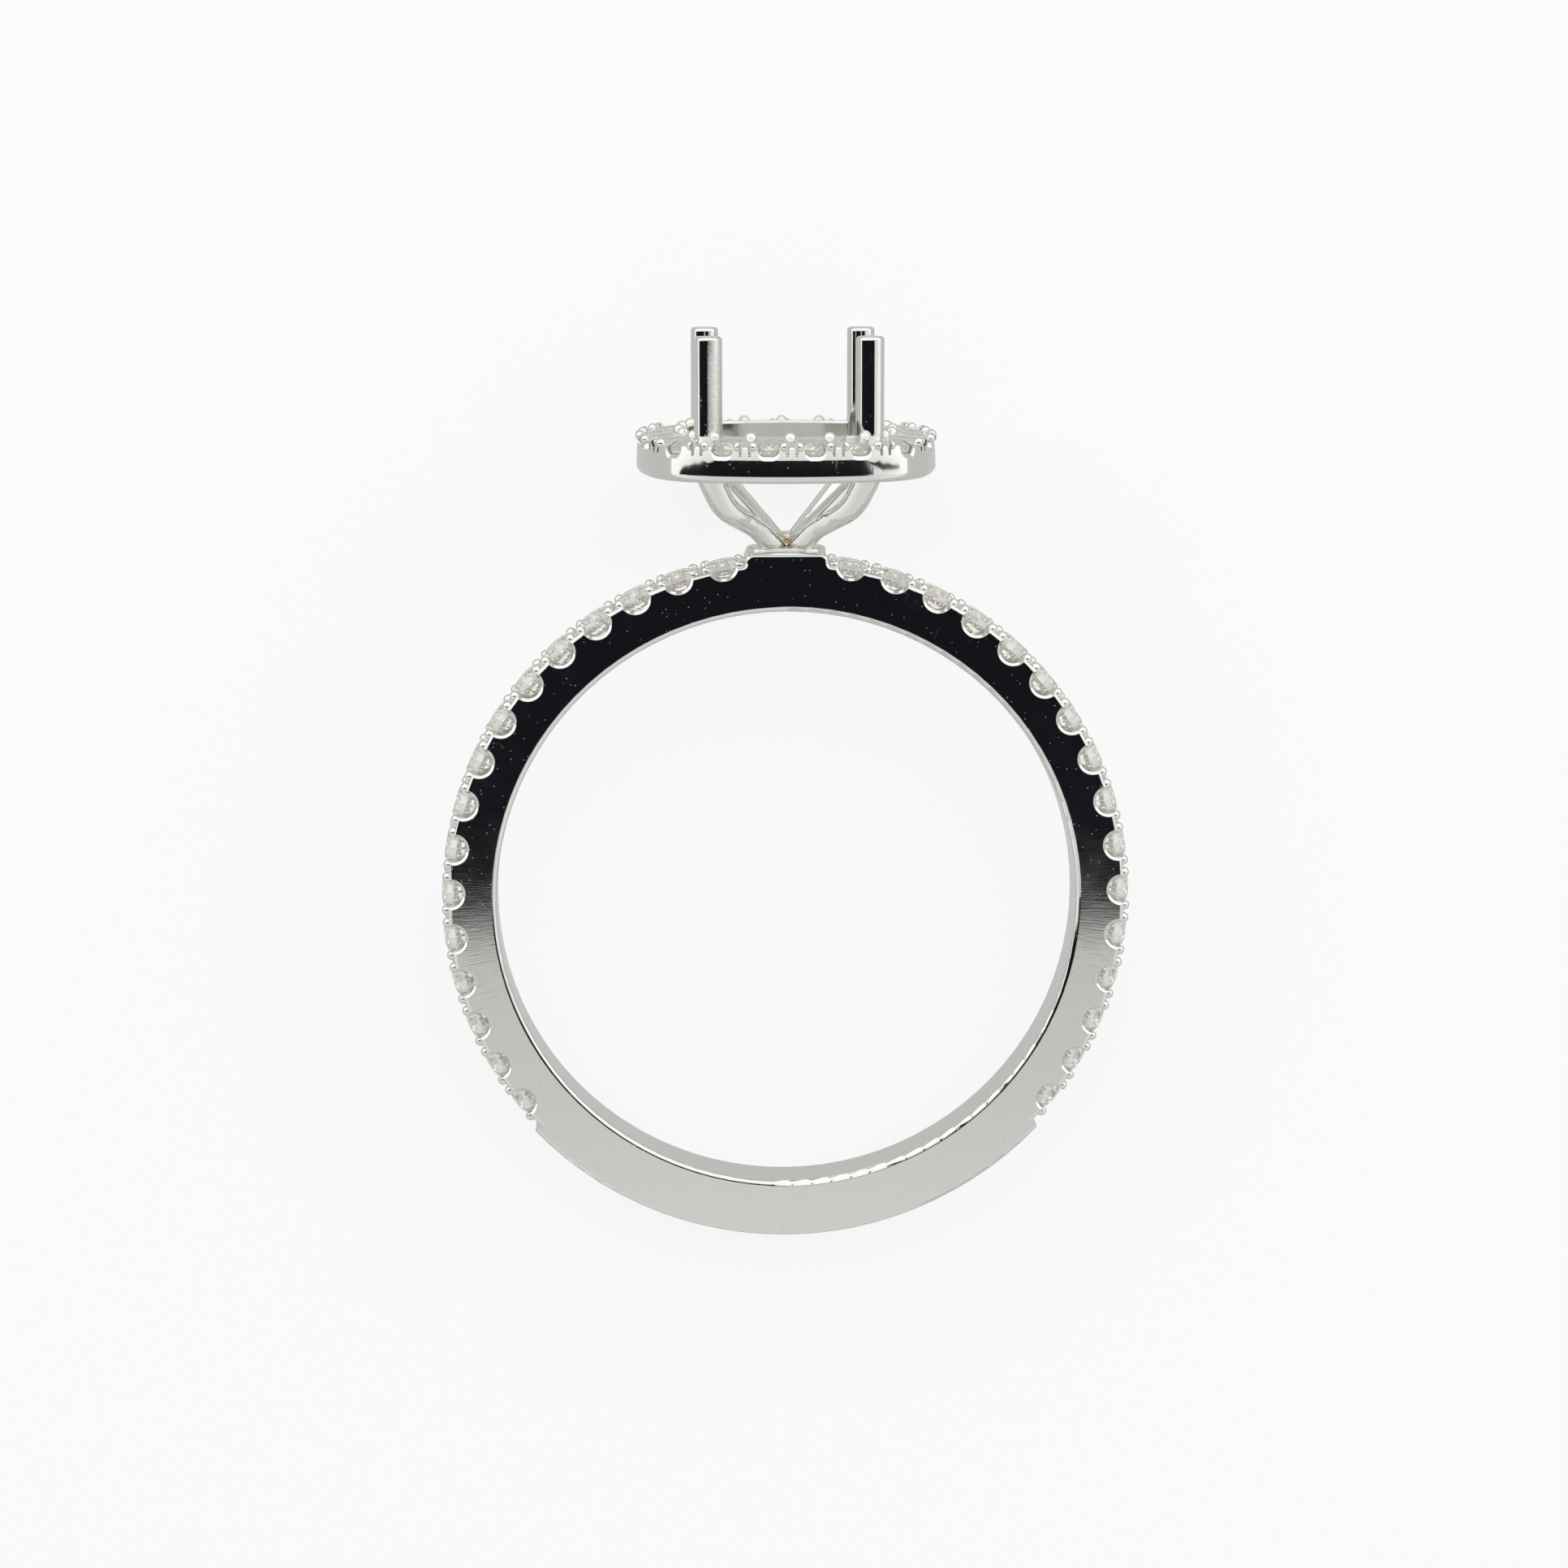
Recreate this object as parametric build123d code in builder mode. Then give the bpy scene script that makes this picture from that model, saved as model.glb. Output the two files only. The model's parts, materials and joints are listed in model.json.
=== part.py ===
from build123d import *
from math import asin, atan2, cos, degrees, hypot, pi, radians, sin, sqrt, tan
import os

os.makedirs("parts", exist_ok=True)

# The ring is drawn upright: the bore's centre is the origin, +Y runs to the head and Z is the finger's axis.
# At the end it is laid on its back side, with +Y still to the head and +Z up.

# Shank
bore_radius = 8.45
shank_width = 1.8
metal_radius = 9.87
plain_radius = 10.10
plain_start = 133
platform_half = 1.2
platform_top = 10.16
platform_corner = 0.25
platform_joint = 0.1
bore_round = 0.15
edge_round = 0.12

# Stones of the shoulders
shank_stone_width = 1.2
shank_girdle = 9.83
first_stone = 10.7
stone_step = 7.8
stones_a_side = 16

# Windows cut through the shoulders, from face to face
# The windows nearest the head are less deep, by these amounts
window_width = 0.77
window_floor = 9.43
window_round = 0.38
window_bevel = 0.07
window_rises = [0.16, 0.12, 0.06]

# Beads of the shoulders, four to a stone
shank_bead = 0.16
shank_bead_top = 10.04
shank_bead_along = 0.485
shank_bead_across = 0.65

# Halo, a cushion of four bowed sides and four corners
# Its wall stands upright from the wall's start, curves in towards the top, and the top rises inward
halo_half = 4.31
halo_base = 12.45
halo_top = 13.48
halo_band = 1.42
halo_slope = 9
side_join = 2.31
side_bow = 0.35
wall_start = 12.70
wall_curve = 4.2
halo_base_round = 0.22
halo_top_round = 0.08

# Stones of the halo, with their girdles sunk below the band's top
halo_stone_width = 1.1
halo_corner_width = 1.0
halo_sink = 0.18
halo_stone_inset = 0.70
halo_corner_inset = 0.64

# Windows, grooves and beads of the halo, measured from the stones' girdles
halo_window_width = 0.6
halo_window_depth = 0.09
halo_window_round = 0.2
halo_window_bevel = 0.06
groove_width = 0.08
groove_length = 0.24
groove_depth = 0.08
groove_spread = 0.13
halo_bead = 0.14
inner_bead = 0.17
halo_bead_rise = 0.33
halo_bead_inset = 0.13
halo_bead_spread = 0.2
inner_bead_inset = 1.27

# Head: four prong wires whose legs meet on a foot plate, with solder between them
prong_place = 2.29
prong_radius = 0.4
prong_tip = 16.45
prong_tip_round = 0.1
leg_foot_radius = 0.355
leg_top = 13.0
leg_bends = [(0, 9.98), (1.19, 10.94), (2.59, 11.58)]
leg_upright_from = 12.6
leg_bend_radii = [1.3, 1.4, 1.3]
foot_length = 2.3
foot_width = 1.6
foot_top = 10.28
foot_round = 0.1
solder_radius = 0.45
solder_top = 10.68
solder_round = 0.15

# Proportions of a small round brilliant with a thick girdle, as parts of its width
table_part = 0.56
star_part = 0.78
crown_part = 0.11
girdle_part = 0.15
pavilion_part = 0.46
lower_point_part = 0.24
main_facets = 8
girdle_corners = 16

# Fits: a stone's seat is wider than the stone by the gap all round, and cutters reach past the metal
seat_gap = 0.03
reach = 0.6


def ring_points(count, radius, height, turn=0.0):
    step = 360 / count
    return [
        (radius * cos(radians(turn + i * step)), radius * sin(radians(turn + i * step)), height)
        for i in range(count)
    ]


def brilliant_points(width):
    # Corners of a round brilliant of 57 facets, with the girdle's middle at height 0 and the table up
    radius = width / 2
    half_girdle = girdle_part * width / 2
    crown = crown_part * width
    pavilion = pavilion_part * width
    table = radius * table_part
    star = radius * star_part
    lower = radius * lower_point_part
    half_step = cos(pi / main_facets)
    half_turn = 180 / main_facets
    star_height = half_girdle + crown * (radius - star * half_step) / (radius - table)
    lower_height = -half_girdle - pavilion * (radius - lower * half_step) / radius
    points = ring_points(main_facets, table, half_girdle + crown)
    points += ring_points(main_facets, star, star_height, half_turn)
    points += ring_points(girdle_corners, radius, half_girdle)
    points += ring_points(girdle_corners, radius, -half_girdle)
    points += ring_points(main_facets, lower, lower_height, half_turn)
    return points + [(0, 0, -half_girdle - pavilion)]


def seat_points(width):
    # Corners of a stone's seat: plain pyramids above and below the girdle, grown by the gap
    grown = 1 + 2 * seat_gap / width
    half_girdle = grown * girdle_part * width / 2
    radius = grown * width / 2 / cos(pi / girdle_corners)
    table = radius * table_part
    turn = 180 / girdle_corners
    points = ring_points(girdle_corners, table, half_girdle + grown * crown_part * width, turn)
    points += ring_points(girdle_corners, radius, half_girdle, turn)
    points += ring_points(girdle_corners, radius, -half_girdle, turn)
    return points + [(0, 0, -half_girdle - grown * pavilion_part * width)]


def slot_section(width, floor, bottom_round):
    # A slot's section: open above, with its two lower corners rounded
    with BuildSketch(Plane.XY) as slot:
        with Locations((0, floor)):
            Rectangle(width, reach - floor, align=(Align.CENTER, Align.MIN))
        fillet(slot.vertices().group_by(Axis.Y)[0], bottom_round)
    return slot.sketch


def window_cut(width, floor, bottom_round, bevel, face):
    # A window from a stone's axis out through a face at the given distance, bevelled round its mouth
    facing = Plane(origin=(0, 0, 0), x_dir=(-1, 0, 0), z_dir=(0, 1, 0))
    grown = 2 * bevel
    with BuildPart() as window:
        with BuildSketch(facing):
            add(slot_section(width, floor, bottom_round))
        extrude(amount=face + bevel)
        with BuildSketch(facing.offset(face - bevel)):
            add(slot_section(width, floor, bottom_round))
        with BuildSketch(facing.offset(face + bevel)):
            add(slot_section(width + 2 * grown, floor - grown, bottom_round + grown))
        loft(ruled=True)
    return window.part


def stone_place(angle):
    # The plane of a shoulder stone's girdle, with Z outward from the bore and Y along the finger
    a = radians(angle)
    out = Vector(sin(a), cos(a), 0)
    return Plane(origin=out * shank_girdle, x_dir=(-cos(a), sin(a), 0), z_dir=out)


right_angles = [first_stone + i * stone_step for i in range(stones_a_side)]
right_places = [stone_place(a) for a in right_angles]
left_places = [stone_place(-a) for a in right_angles]
shank_places = right_places + left_places

# The halo's outline: each side is an arc of a wide circle and each corner one of a small circle
side_radius = (side_join**2 + side_bow**2) / (2 * side_bow)
join_angle = asin(side_join / side_radius)
side_centre = halo_half - side_radius
join_height = halo_half - side_bow
corner_radius = (join_height - side_join) / (cos(join_angle) - sin(join_angle))
corner_centre = side_join - corner_radius * sin(join_angle)
slope = radians(halo_slope)
wall_lean = asin((halo_top - wall_start) / wall_curve)
wall_inset = wall_curve * (1 - cos(wall_lean))


def halo_height(inset):
    # The height of the band's top at a distance in from the wall
    return halo_top + (inset - wall_inset) * tan(slope)


def band_section(radius):
    # The band's section, with its wall at the radius of a side or of a corner
    with BuildSketch(Plane.XY) as section:
        with BuildLine():
            wall = CenterArc((radius - wall_curve, wall_start), wall_curve, 0, degrees(wall_lean))
            inner = radius - halo_band
            Polyline(wall @ 1, (inner, halo_height(halo_band)), (inner, halo_base), (radius, halo_base), wall @ 0)
        make_face()
        fillet(section.vertices().sort_by(Axis.Y)[-2:], halo_top_round)
        fillet(section.vertices().group_by(Axis.Y)[0].sort_by(Axis.X)[-1], halo_base_round)
    return section.sketch


def halo_place(side, station, inset):
    # A stone's girdle plane at a distance along one side of the halo, with Z up out of the band's top
    side_run = (side_radius - inset) * join_angle
    if abs(station) < side_run:
        a = station / (side_radius - inset)
        across = (side_radius - inset) * sin(a)
        out = side_centre + (side_radius - inset) * cos(a)
    else:
        a = join_angle + (abs(station) - side_run) / (corner_radius - inset)
        across = corner_centre + (corner_radius - inset) * sin(a)
        out = corner_centre + (corner_radius - inset) * cos(a)
        if station < 0:
            a, across = -a, -across
    turn = pi / 2 * side
    wall = Vector(sin(a + turn), 0, cos(a + turn))
    x = across * cos(turn) + out * sin(turn)
    z = out * cos(turn) - across * sin(turn)
    height = halo_height(inset) - halo_sink / cos(slope)
    normal = wall * sin(slope) + Vector(0, cos(slope), 0)
    return Plane(origin=(x, height, z), x_dir=(-wall.Z, 0, wall.X), z_dir=normal)


def half_side_run(inset):
    # Length of the outline from a side's middle to the corner's middle
    side_run = (side_radius - inset) * join_angle
    return side_run + (corner_radius - inset) * (pi / 4 - join_angle)


# Steps along a side, counted from its middle: the stones, the gaps between them and the corner's stone
stone_steps = (-1.5, -0.5, 0.5, 1.5)
gap_steps = (-2, -1, 0, 1, 2)
corner_step = 2.5
halo_pitch = half_side_run(halo_stone_inset) / corner_step
side_places = [
    halo_place(side, halo_pitch * step, halo_stone_inset)
    for side in range(4)
    for step in stone_steps
]
gap_places = [
    halo_place(side, halo_pitch * step, halo_stone_inset)
    for side in range(4)
    for step in gap_steps
]
corner_places = [
    halo_place(side, half_side_run(halo_corner_inset), halo_corner_inset) for side in range(4)
]

# Shank
with BuildPart() as shank:
    with BuildSketch(Plane.XY.offset(-shank_width / 2)) as shank_outline:
        Circle(metal_radius)
        with BuildLine():
            plain_arc = CenterArc((0, 0), plain_radius, 90 + plain_start, 360 - 2 * plain_start)
            Polyline(plain_arc @ 1, (0, 0), plain_arc @ 0)
        make_face()
        Rectangle(2 * platform_half, platform_top, align=(Align.CENTER, Align.MIN))
        fillet(shank_outline.vertices().group_by(Axis.Y)[-1], platform_corner)
        fillet(shank_outline.vertices().group_by(Axis.Y)[-3], platform_joint)
        Circle(bore_radius, mode=Mode.SUBTRACT)
    extrude(amount=shank_width)
    round_edges = shank.edges().filter_by(GeomType.CIRCLE)
    fillet(round_edges.filter_by(lambda e: abs(e.radius - bore_radius) < seat_gap), bore_round)
    # Every outer edge is rounded but the short steps where the plain part starts
    outer_edges = [e for f in shank.faces().filter_by(Axis.Z) for e in f.outer_wire().edges()]
    fillet([e for e in outer_edges if e.geom_type == GeomType.CIRCLE or e.center().Y > 0], edge_round)

# Halo band: its section turned about the middle of each side's arc and of each corner's
with BuildPart() as halo:
    join_turn = degrees(join_angle)
    for start in (0, 90, 180, 270):
        for out, middle, half_arc, radius in (
            (side_centre, start, join_turn, side_radius),
            (corner_centre * sqrt(2), start + 45, 45 - join_turn, corner_radius),
        ):
            centre = Vector(out * sin(radians(middle)), 0, out * cos(radians(middle)))
            begin = radians(middle - half_arc)
            across = Vector(sin(begin), 0, cos(begin))
            with BuildSketch(Plane(origin=centre, x_dir=across, z_dir=(-across.Z, 0, across.X))):
                add(band_section(radius))
            revolve(axis=Axis(centre, (0, 1, 0)), revolution_arc=2 * half_arc)

# Foot plate, prong wires and legs
# Each leg lies in the upright plane through the ring's middle and its prong
leg_plane = Plane(origin=(0, 0, 0), x_dir=(1, 0, 1), z_dir=(-1, 0, 1))
prong_run = prong_place * sqrt(2)
with BuildPart() as head:
    with BuildLine(leg_plane) as leg_path:
        upright = [(prong_run, leg_upright_from), (prong_run, leg_top)]
        FilletPolyline(*leg_bends, *upright, radius=leg_bend_radii)
    with BuildSketch(Plane(origin=leg_path.line @ 0, z_dir=leg_path.line % 0)) as leg_low:
        Circle(leg_foot_radius)
    with BuildSketch(Plane(origin=leg_path.line @ 1, z_dir=leg_path.line % 1)) as leg_high:
        Circle(prong_radius)
    sweep(sections=[leg_low.sketch, leg_high.sketch], path=leg_path.line, multisection=True)
    with BuildSketch(Plane(origin=(prong_place, leg_top, prong_place), x_dir=(1, 0, 0), z_dir=(0, 1, 0))):
        Circle(prong_radius)
    extrude(amount=prong_tip - leg_top)
    fillet(head.faces().sort_by(Axis.Y)[-1].edges(), prong_tip_round)
    mirror(about=Plane.XY)
    mirror(about=Plane.YZ)

with BuildPart() as foot:
    with BuildSketch(Plane(origin=(0, metal_radius, 0), x_dir=(1, 0, 0), z_dir=(0, 1, 0))):
        SlotOverall(foot_length, foot_width)
    extrude(amount=foot_top - metal_radius)
    fillet(foot.faces().sort_by(Axis.Y)[-1].edges(), foot_round)

with BuildPart() as solder:
    with BuildSketch(Plane(origin=(0, metal_radius, 0), x_dir=(1, 0, 0), z_dir=(0, 1, 0))):
        Circle(solder_radius)
    extrude(amount=solder_top - metal_radius)
    fillet(solder.faces().sort_by(Axis.Y)[-1].edges(), solder_round)


def shank_cutter(rise):
    # A shoulder stone's cutter: a window out to each face, and the stone's seat
    floor = window_floor + rise - shank_girdle
    with BuildPart() as cutter:
        add(window_cut(window_width, floor, window_round, window_bevel, shank_width / 2))
        mirror(about=Plane.XZ)
        ConvexPolyhedron(seat_points(shank_stone_width))
    return cutter.part


# Cutters of the halo
# A window there runs down along the slope, so it meets the wall a little nearer to its stone
slope_drop = halo_window_depth * sin(slope)
with BuildPart() as side_cut:
    face = halo_stone_inset - slope_drop
    add(window_cut(halo_window_width, -halo_window_depth, halo_window_round, halo_window_bevel, face))
    ConvexPolyhedron(seat_points(halo_stone_width))

with BuildPart() as corner_cut:
    face = halo_corner_inset - slope_drop
    add(window_cut(halo_window_width, -halo_window_depth, halo_window_round, halo_window_bevel, face))
    ConvexPolyhedron(seat_points(halo_corner_width))

# The soldered metal, still upright
with BuildPart() as metal:
    add(shank.part)
    add(foot.part)
    add(solder.part)
    add(head.part)
    add(halo.part)
    with Locations(*shank_places):
        bead_height = shank_bead_top - shank_bead - shank_girdle
        with Locations(*[
            (x, y, bead_height)
            for x in (-shank_bead_along, shank_bead_along)
            for y in (-shank_bead_across, shank_bead_across)
        ]):
            Sphere(shank_bead)
    with Locations(*gap_places):
        bead_height = halo_bead_rise - halo_bead
        bead_out = halo_stone_inset - halo_bead_inset
        with Locations((-halo_bead_spread, bead_out, bead_height), (halo_bead_spread, bead_out, bead_height)):
            Sphere(halo_bead)
        with Locations((0, halo_stone_inset - inner_bead_inset, halo_bead_rise - inner_bead)):
            Sphere(inner_bead)
    shallow = len(window_rises)
    for rise, right_place, left_place in zip(window_rises, right_places, left_places):
        with Locations(right_place, left_place):
            add(shank_cutter(rise), mode=Mode.SUBTRACT)
    with Locations(*right_places[shallow:], *left_places[shallow:]):
        add(shank_cutter(0), mode=Mode.SUBTRACT)
    with Locations(*side_places):
        add(side_cut.part, mode=Mode.SUBTRACT)
    with Locations(*corner_places):
        add(corner_cut.part, mode=Mode.SUBTRACT)
    with Locations(*gap_places):
        groove_start = (halo_stone_inset - groove_length, -groove_depth)
        with Locations((-groove_spread, *groove_start), (groove_spread, *groove_start)):
            Box(
                groove_width,
                2 * groove_length,
                reach,
                align=(Align.CENTER, Align.MIN, Align.MIN),
                mode=Mode.SUBTRACT,
            )

# Laid on its back side, where the shank's bottom and the halo's base edge touch the surface
# Both edges are round, so the surface is the common tangent of two circles of different size
rest_length = halo_base + halo_base_round + plain_radius - edge_round
rest_drop = halo_half - halo_base_round - (shank_width / 2 - edge_round)
round_turn = asin((halo_base_round - edge_round) / hypot(rest_length, rest_drop))
lean = atan2(rest_drop, rest_length) + round_turn
tilt = degrees(lean)
edge_radius = plain_radius - edge_round
edge_half = shank_width / 2 - edge_round
rest_height = edge_radius * sin(lean) + edge_half * cos(lean) + edge_round
with BuildPart() as tilted:
    with Locations(Location((0, 0, 0), (tilt, 0, 0))):
        add(metal.part)
box = tilted.part.bounding_box()
resting = Location((0, -(box.min.Y + box.max.Y) / 2, rest_height), (tilt, 0, 0))

with BuildPart() as mounting:
    with Locations(resting):
        add(metal.part)
mounting.part.label = "mounting"
export_step(mounting.part, "parts/mounting.step")

for side, places in (("left", left_places), ("right", right_places)):
    for number, place in enumerate(places, start=1):
        with BuildPart() as stone:
            with Locations(resting):
                with Locations(place):
                    ConvexPolyhedron(brilliant_points(shank_stone_width))
        name = f"shank_stone_{side}_{number:02d}"
        stone.part.label = name
        export_step(stone.part, f"parts/{name}.step")

with BuildPart() as halo_stones:
    with Locations(resting):
        with Locations(*side_places):
            ConvexPolyhedron(brilliant_points(halo_stone_width))
        with Locations(*corner_places):
            ConvexPolyhedron(brilliant_points(halo_corner_width))
halo_stones.part.label = "halo_stones"
export_step(halo_stones.part, "parts/halo_stones.step")
print("tilt", round(tilt, 3), "size", box.size, "bore's middle", resting.position)
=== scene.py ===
import bpy
import bmesh
import json
from math import atan2, cos, radians, sin, tan
from mathutils import Matrix, Vector

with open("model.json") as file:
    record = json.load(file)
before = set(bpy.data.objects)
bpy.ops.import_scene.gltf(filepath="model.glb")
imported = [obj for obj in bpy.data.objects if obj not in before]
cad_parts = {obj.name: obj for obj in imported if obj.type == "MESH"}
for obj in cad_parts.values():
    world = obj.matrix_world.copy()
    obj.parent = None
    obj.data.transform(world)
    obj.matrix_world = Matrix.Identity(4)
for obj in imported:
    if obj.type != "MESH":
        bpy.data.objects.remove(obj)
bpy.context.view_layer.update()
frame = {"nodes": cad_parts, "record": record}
mounts = {m["name"]: m for m in frame["record"]["mounts"]}
boreCentre = Vector(mounts["finger_bore"]["pos_m"])
fingerAxis = Vector(mounts["finger_bore"]["axis"])
ringTilt = atan2(-fingerAxis.y, fingerAxis.z)  # the ring leans back by this much where it lies
print("frame loaded, tilt", round(ringTilt, 4))

mm = 0.001


def fromRing(point):
    # a point of the upright ring in mm, X right, Y to the head, Z to the viewer, as it lies in the scene
    return boreCentre + Matrix.Rotation(ringTilt, 3, "X") @ (Vector(point) * mm)


# node helpers
def newMaterial(name):
    material = bpy.data.materials.new(name)
    material.use_nodes = True
    tree = material.node_tree
    tree.nodes.clear()
    output = tree.nodes.new("ShaderNodeOutputMaterial")
    shader = tree.nodes.new("ShaderNodeBsdfPrincipled")
    tree.links.new(shader.outputs[0], output.inputs[0])
    return material, tree, shader


def mathNode(tree, operation, first, second=None, third=None):
    node = tree.nodes.new("ShaderNodeMath")
    node.operation = operation
    for socket, value in zip(node.inputs, (first, second, third)):
        if value is None:
            continue
        if isinstance(value, (int, float)):
            socket.default_value = value
        else:
            tree.links.new(value, socket)
    return node.outputs[0]


def ringCoordinates(tree):
    # position in mm on the upright ring, from the object's own coordinates
    place = tree.nodes.new("ShaderNodeTexCoord")
    turn = tree.nodes.new("ShaderNodeMapping")
    turn.vector_type = "TEXTURE"
    turn.inputs["Location"].default_value = boreCentre
    turn.inputs["Rotation"].default_value = (ringTilt, 0, 0)
    turn.inputs["Scale"].default_value = (mm, mm, mm)
    tree.links.new(place.outputs["Object"], turn.inputs["Vector"])
    split = tree.nodes.new("ShaderNodeSeparateXYZ")
    tree.links.new(turn.outputs[0], split.inputs[0])
    return turn.outputs[0], split.outputs[0], split.outputs[1], split.outputs[2]


def noiseNode(tree, vector, scale, detail, roughness):
    node = tree.nodes.new("ShaderNodeTexNoise")
    node.inputs["Scale"].default_value = scale
    node.inputs["Detail"].default_value = detail
    node.inputs["Roughness"].default_value = roughness
    tree.links.new(vector, node.inputs["Vector"])
    return node.outputs["Fac"]


def smoothStep(tree, value, start, full):
    # 0 before start and 1 past full, which may lie on either side of it
    node = tree.nodes.new("ShaderNodeMapRange")
    node.interpolation_type = "SMOOTHSTEP"
    node.inputs["From Min"].default_value = start
    node.inputs["From Max"].default_value = full
    tree.links.new(value, node.inputs["Value"])
    return node.outputs["Result"]


def nearPoint(tree, vector, point, reach):
    # 1 at a point of the ring and 0 beyond the reach, in mm
    node = tree.nodes.new("ShaderNodeVectorMath")
    node.operation = "DISTANCE"
    node.inputs[1].default_value = point
    tree.links.new(vector, node.inputs[0])
    return smoothStep(tree, node.outputs["Value"], reach, reach * 0.3)


def bumpNode(tree, height, depth, normal):
    node = tree.nodes.new("ShaderNodeBump")
    node.inputs["Distance"].default_value = depth * mm
    tree.links.new(height, node.inputs["Height"])
    tree.links.new(normal, node.inputs["Normal"])
    return node.outputs[0]


def mixColour(tree, factor, first, second):
    node = tree.nodes.new("ShaderNodeMix")
    node.data_type = "RGBA"
    tree.links.new(factor, node.inputs[0])
    node.inputs[6].default_value = (*first, 1.0)
    node.inputs[7].default_value = (*second, 1.0)
    return node.outputs[2]


# lengths and places in mm on the upright ring; a noise is scale, detail and roughness; a pair is start and full
goldLook = {
    "tint": (0.765, 0.77, 0.732),
    "roughness": 0.038,
    "wearNoise": (1.3, 2.0, 0.5),
    "wearRough": 0.05,
    "edgeRound": 0.03,  # the softness of every polished edge
    "edgeSamples": 6,
    "streaksPerMm": 22.0,
    "streakRadius": 9.3,  # the shank's middle line, where the streaks are counted
    "streakStretch": 0.9,
    "streakNoise": (1.0, 4.0, 0.6),
    "streakDepth": 0.0004,
    "scratchPart": (0.56, 0.72),  # the streaks that are deep enough to dull the polish
    "scratchRough": 0.12,
    "handledNoise": (0.45, 2.0, 0.5),  # and the places where they are
    "handledPart": (0.48, 0.62),
    "speckScale": 8.0,
    "speckSize": (0.16, 0.04),
    "speckShare": 0.35,
    "speckDepth": 0.0012,
    "speckRough": 0.3,
    "castNoise": (16.0, 3.0, 0.7),  # casting grain on the left prong's inner side and low on two legs
    "castDepth": 0.02,
    "castRough": 0.08,
    "castProng": ((-2.05, 14.6, 2.55), 2.8),
    "castProngX": (-2.36, -2.24),
    "castProngZ": (2.95, 2.8),
    "castLegs": (((-0.85, 10.6, 1.0), 0.5), ((1.1, 10.8, 1.2), 0.45)),
    "farWallY": (12.2, 12.3),
    "farWallZ": (-2.7, -2.8),
    "farWallRough": 0.35,  # the far side of the halo is left unpolished
    "solderTint": (0.58, 0.49, 0.34),
    "solderSpot": ((0.0, 10.45, 0.5), 0.55),
    "solderNoise": (5.0, 3.0, 0.6),
    "solderPart": (0.42, 0.6),
    "solderRough": 0.25,
}


def whiteGold():
    # bright polished white gold with polishing streaks, dust specks, casting grain and a solder stain
    material, tree, shader = newMaterial("whiteGold")
    look = goldLook
    vector, x, y, z = ringCoordinates(tree)
    soft = tree.nodes.new("ShaderNodeBevel")
    soft.samples = look["edgeSamples"]
    soft.inputs["Radius"].default_value = look["edgeRound"] * mm

    # streaks run outwards on the shank's faces
    angle = mathNode(tree, "ARCTAN2", x, y)
    radius = mathNode(tree, "SQRT", mathNode(tree, "MULTIPLY_ADD", x, x, mathNode(tree, "MULTIPLY", y, y)))
    perRadian = look["streakRadius"] * look["streaksPerMm"]
    streakVector = tree.nodes.new("ShaderNodeCombineXYZ")
    tree.links.new(mathNode(tree, "MULTIPLY", angle, perRadian), streakVector.inputs[0])
    tree.links.new(mathNode(tree, "MULTIPLY", radius, look["streakStretch"]), streakVector.inputs[1])
    tree.links.new(z, streakVector.inputs[2])
    streaks = noiseNode(tree, streakVector.outputs[0], *look["streakNoise"])
    normal = bumpNode(tree, streaks, look["streakDepth"], soft.outputs[0])

    # a share of the cells has a speck in it
    cells = tree.nodes.new("ShaderNodeTexVoronoi")
    cells.inputs["Scale"].default_value = look["speckScale"]
    tree.links.new(vector, cells.inputs["Vector"])
    chance = tree.nodes.new("ShaderNodeSeparateColor")
    tree.links.new(cells.outputs["Color"], chance.inputs[0])
    dot = smoothStep(tree, cells.outputs["Distance"], *look["speckSize"])
    chosen = mathNode(tree, "LESS_THAN", chance.outputs[0], look["speckShare"])
    specks = mathNode(tree, "MULTIPLY", dot, chosen)
    normal = bumpNode(tree, specks, look["speckDepth"], normal)

    cast = nearPoint(tree, vector, *look["castProng"])
    cast = mathNode(tree, "MULTIPLY", cast, smoothStep(tree, x, *look["castProngX"]))
    cast = mathNode(tree, "MULTIPLY", cast, smoothStep(tree, z, *look["castProngZ"]))
    for place, reach in look["castLegs"]:
        cast = mathNode(tree, "MAXIMUM", cast, nearPoint(tree, vector, place, reach))
    grain = noiseNode(tree, vector, *look["castNoise"])
    normal = bumpNode(tree, mathNode(tree, "MULTIPLY", grain, cast), look["castDepth"], normal)
    tree.links.new(normal, shader.inputs["Normal"])

    patches = smoothStep(tree, noiseNode(tree, vector, *look["solderNoise"]), *look["solderPart"])
    stain = mathNode(tree, "MULTIPLY", nearPoint(tree, vector, *look["solderSpot"]), patches)
    tree.links.new(mixColour(tree, stain, look["tint"], look["solderTint"]), shader.inputs["Base Color"])
    shader.inputs["Metallic"].default_value = 1.0

    handled = smoothStep(tree, noiseNode(tree, vector, *look["handledNoise"]), *look["handledPart"])
    scratches = mathNode(tree, "MULTIPLY", smoothStep(tree, streaks, *look["scratchPart"]), handled)
    farWall = smoothStep(tree, z, *look["farWallZ"])
    farWall = mathNode(tree, "MULTIPLY", farWall, smoothStep(tree, y, *look["farWallY"]))
    wear = noiseNode(tree, vector, *look["wearNoise"])
    roughness = mathNode(tree, "MULTIPLY_ADD", wear, look["wearRough"], look["roughness"])
    for part, name in ((specks, "speckRough"), (cast, "castRough"), (stain, "solderRough"),
                       (scratches, "scratchRough"), (farWall, "farWallRough")):
        roughness = mathNode(tree, "MULTIPLY_ADD", part, look[name], roughness)
    tree.links.new(roughness, shader.inputs["Roughness"])
    return material


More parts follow.
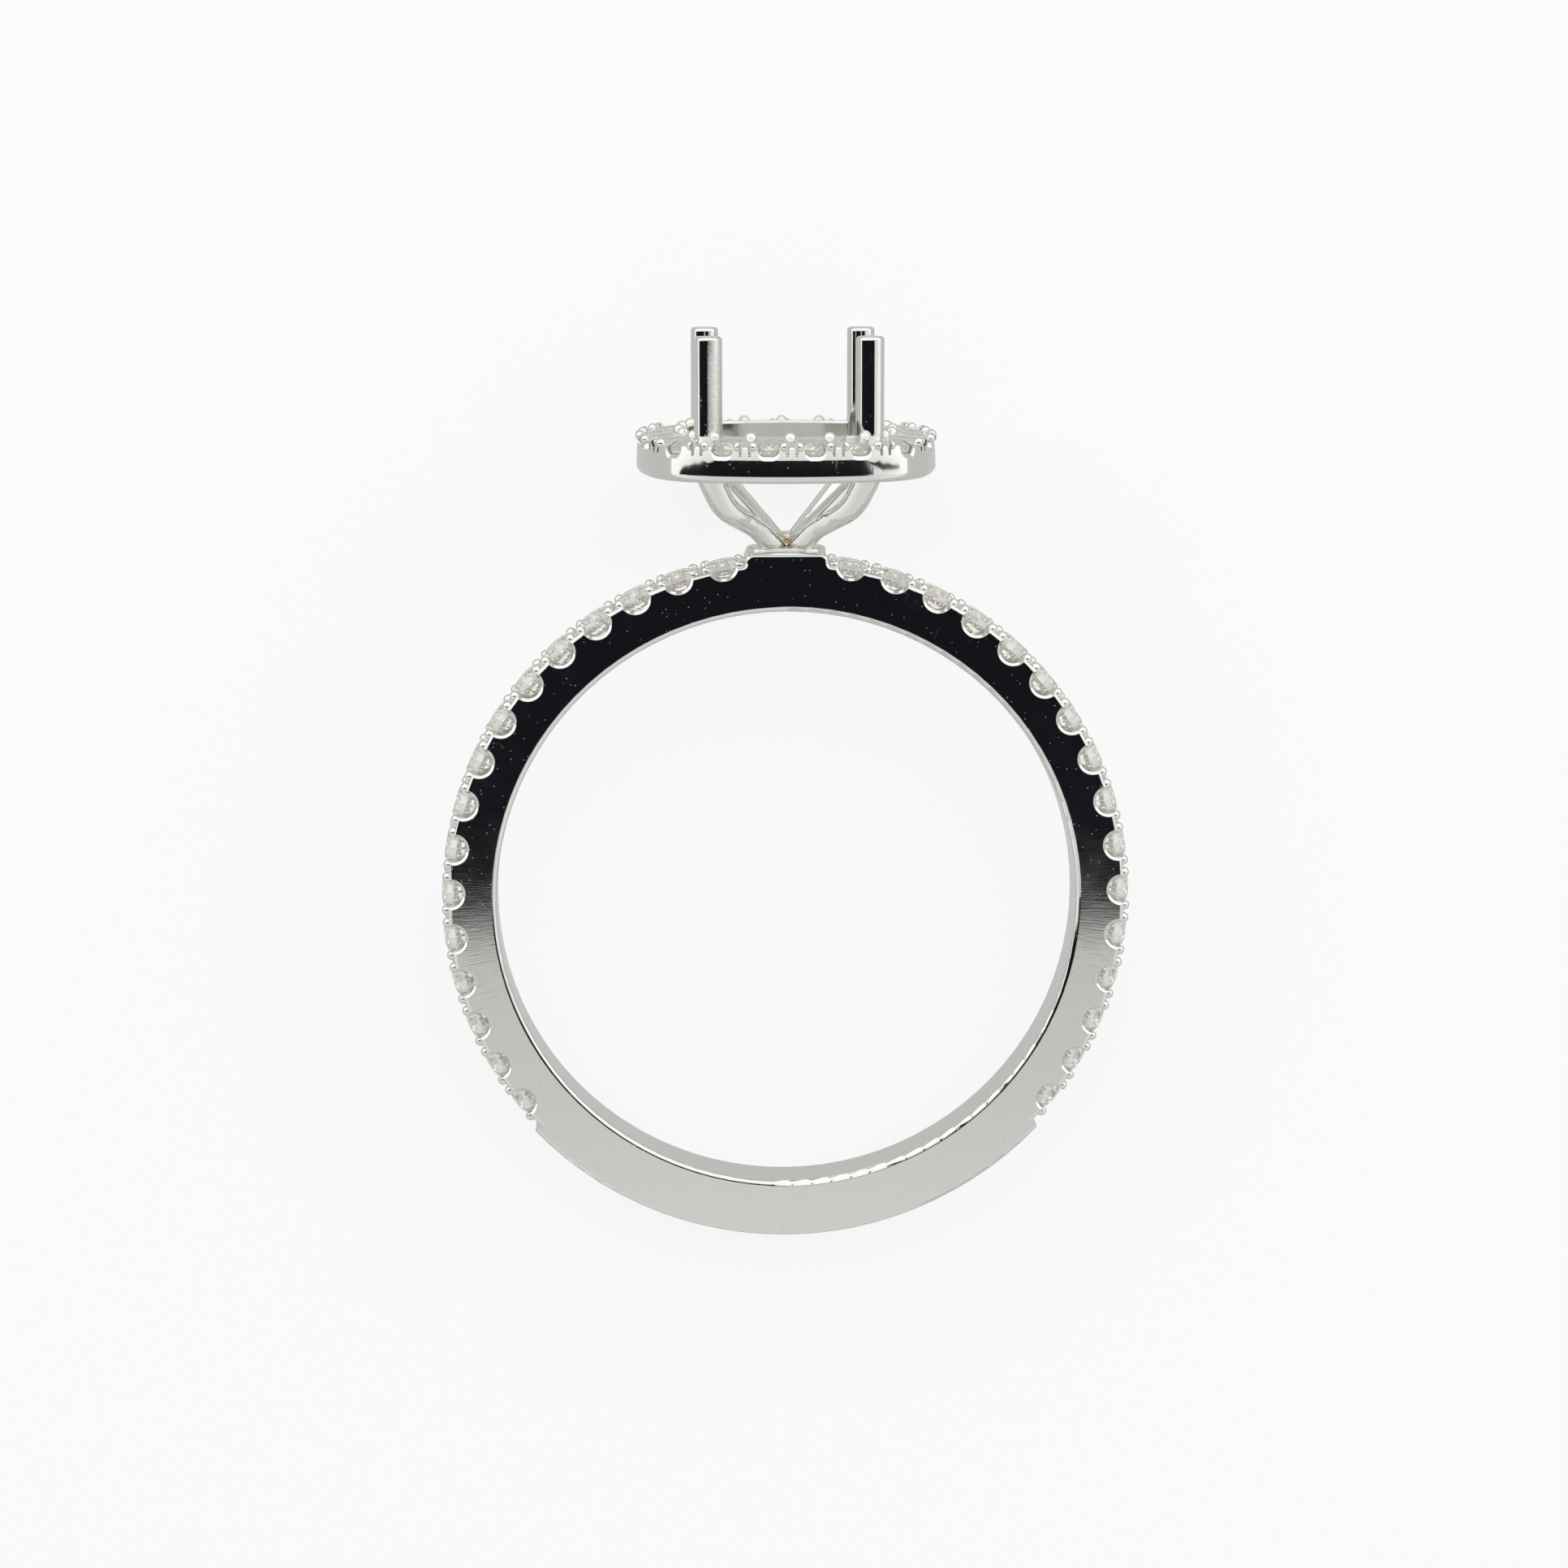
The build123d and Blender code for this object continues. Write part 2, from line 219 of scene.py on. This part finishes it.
diamondLook = {
    "tint": (0.95, 0.925, 0.86),
    "clear": (1.0, 0.995, 0.98),
    "ior": 2.42,
    "clearShare": 0.94,
    "glow": 0.055,  # painted glow: a faint light the stone gives off by itself, though it is no lamp
    "hazeNoise": (5.0, 3.0, 0.6),
    "hazePart": (0.4, 0.6),
    "hazeRough": 0.015,
}


def diamond():
    # near-clear stone, a trace warm, with faint haze inside and a faint painted glow
    material, tree, shader = newMaterial("diamond")
    look = diamondLook
    vector = ringCoordinates(tree)[0]
    haze = smoothStep(tree, noiseNode(tree, vector, *look["hazeNoise"]), *look["hazePart"])
    tree.links.new(mixColour(tree, haze, look["tint"], look["clear"]), shader.inputs["Base Color"])
    tree.links.new(mathNode(tree, "MULTIPLY", haze, look["hazeRough"]), shader.inputs["Roughness"])
    shader.inputs["IOR"].default_value = look["ior"]
    shader.inputs["Transmission Weight"].default_value = look["clearShare"]
    # painted glow: a faint warm emission in the stone's tint lifts its brightness, though it is no lamp
    shader.inputs["Emission Color"].default_value = (*look["tint"], 1.0)
    shader.inputs["Emission Strength"].default_value = look["glow"]
    return material


goldMaterial = whiteGold()
diamondMaterial = diamond()

for name, node in frame["nodes"].items():
    for slot in node.material_slots:
        slot.link = "OBJECT"
        slot.material = goldMaterial if name == "mounting" else diamondMaterial
print("metal and stones dressed")


studio = {
    "floorSize": 3.0,  # metres
    "floorTone": 0.14,
    "floorRough": 0.9,
    "floorGloss": 0.1,
    "floorGlow": 0.83,  # as the camera sees it, because the photograph's background was whitened
    "floorMirrored": 0.50,  # as the polished ring reflects it
    "cardTone": (0.0115, 0.0135, 0.0185),
    "cardRough": 0.9,
    "cardHeight": 0.15,
    "cardRight": 33.0,  # degrees from straight up, as seen from the ring
    "cardLeft": -30.0,
    "cardFront": -21.12,
    "cardBack": 0.0,
    "leftWing": [(-0.087, -0.004), (-0.42, -0.012), (-0.62, -0.03), (-0.62, -0.075), (-0.087, -0.05)],  # metres
    "rightWing": [(0.098, -0.013), (0.62, -0.021), (0.62, -0.015), (0.098, -0.005)],
    "skyLow": 0.84,
    "skyHigh": 1.60,
    "skyRise": (-0.45, 0.55),  # along Y, from the shank's side to the head's
    "skyBottom": 0.14,
    "skyBottomPart": (-0.36, -0.42),
    "sideLight": 0.45,
    "sideNarrow": 4.0,
}


def plainPlane(name, corners, material):
    work = bmesh.new()
    work.faces.new([work.verts.new(c) for c in corners])
    mesh = bpy.data.meshes.new(name)
    work.to_mesh(mesh)
    work.free()
    mesh.materials.append(material)
    piece = bpy.data.objects.new(name, mesh)
    bpy.context.scene.collection.objects.link(piece)


def floorMaterial():
    material, tree, shader = newMaterial("paleFloor")
    tone, mirrored = studio["floorTone"], studio["floorMirrored"]
    shader.inputs["Base Color"].default_value = (tone, tone, tone, 1.0)
    shader.inputs["Roughness"].default_value = studio["floorRough"]
    shader.inputs["Specular IOR Level"].default_value = studio["floorGloss"]
    shader.inputs["Emission Color"].default_value = (1.0, 1.0, 1.0, 1.0)
    path = tree.nodes.new("ShaderNodeLightPath")
    glow = mathNode(tree, "MULTIPLY_ADD", path.outputs["Is Camera Ray"], studio["floorGlow"] - mirrored, mirrored)
    tree.links.new(glow, shader.inputs["Emission Strength"])
    return material


def cardMaterial():
    material, tree, shader = newMaterial("blackCard")
    shader.inputs["Base Color"].default_value = (*studio["cardTone"], 1.0)
    shader.inputs["Roughness"].default_value = studio["cardRough"]
    shader.inputs["Specular IOR Level"].default_value = 0.0
    return material


def cardReach(angle):
    return studio["cardHeight"] * tan(radians(angle))


def cardOutline():
    # a dark card round the camera, with a wide wing and a thin one that darken the left prong and the halo's wall
    right, left, front, back = (cardReach(studio[k]) for k in ("cardRight", "cardLeft", "cardFront", "cardBack"))
    outline = [(right, front), *studio["rightWing"], (right, back), (left, back), *studio["leftWing"], (left, front)]
    return [(x, y, studio["cardHeight"]) for x, y in outline]


half = studio["floorSize"] / 2
plainPlane("floor", [(-half, -half, 0), (half, -half, 0), (half, half, 0), (-half, half, 0)], floorMaterial())
plainPlane("camera_card", cardOutline(), cardMaterial())


def softSky():
    # a white studio tent, brighter towards the head's side, at both sides and beyond the shank's bottom
    world = bpy.data.worlds.new("studioTent")
    world.use_nodes = True
    tree = world.node_tree
    tree.nodes.clear()
    output = tree.nodes.new("ShaderNodeOutputWorld")
    shade = tree.nodes.new("ShaderNodeBackground")
    tree.links.new(shade.outputs[0], output.inputs[0])
    place = tree.nodes.new("ShaderNodeTexCoord")
    split = tree.nodes.new("ShaderNodeSeparateXYZ")
    tree.links.new(place.outputs["Generated"], split.inputs[0])
    across, along = split.outputs[0], split.outputs[1]
    rise = smoothStep(tree, along, *studio["skyRise"])
    strength = mathNode(tree, "MULTIPLY_ADD", rise, studio["skyHigh"] - studio["skyLow"], studio["skyLow"])
    bottom = smoothStep(tree, along, *studio["skyBottomPart"])
    strength = mathNode(tree, "MULTIPLY_ADD", bottom, studio["skyBottom"], strength)
    side = mathNode(tree, "POWER", mathNode(tree, "ABSOLUTE", across), studio["sideNarrow"])
    strength = mathNode(tree, "MULTIPLY_ADD", side, studio["sideLight"], strength)
    tree.links.new(strength, shade.inputs["Strength"])
    bpy.context.scene.world = world


softSky()
print("stage set")

# fitted to the photograph: the ring's own axes, mm, degrees, and pixels of the whole frame
shot = {
    "distance": 122.025,
    "lift": 9.533,
    "turn": 2.308,
    "pixelsPerMm": 41.959,
    "aside": 0.053,
    "up": -3.232,
    "frameWidth": 1932,
    "sensor": 36.0,
    "near": 0.005,  # metres
    "far": 20.0,
}


def photoCamera():
    lift, turn = radians(shot["lift"]), radians(shot["turn"])
    right = Vector((cos(turn), 0, sin(turn)))
    up = Vector((sin(turn) * sin(lift), cos(lift), -cos(turn) * sin(lift)))
    back = Vector((-sin(turn) * cos(lift), sin(lift), cos(turn) * cos(lift)))
    place = -shot["aside"] * right - shot["up"] * up + shot["distance"] * back
    lean = Matrix.Rotation(ringTilt, 3, "X")
    pose = Matrix.Identity(4)
    for column, axis in enumerate((right, up, back)):
        for row, value in enumerate(lean @ axis):
            pose[row][column] = value
    pose.translation = fromRing(place)
    data = bpy.data.cameras.new("camera")
    data.sensor_width = shot["sensor"]
    data.sensor_fit = "HORIZONTAL"
    data.lens = shot["sensor"] * shot["pixelsPerMm"] * shot["distance"] / shot["frameWidth"]
    data.clip_start = shot["near"]
    data.clip_end = shot["far"]
    camera = bpy.data.objects.new("camera", data)
    camera.matrix_world = pose
    bpy.context.scene.collection.objects.link(camera)
    bpy.context.scene.camera = camera


photoCamera()
view = bpy.context.scene.view_settings
view.view_transform = "Standard"
view.exposure = 0.0
print("camera placed")
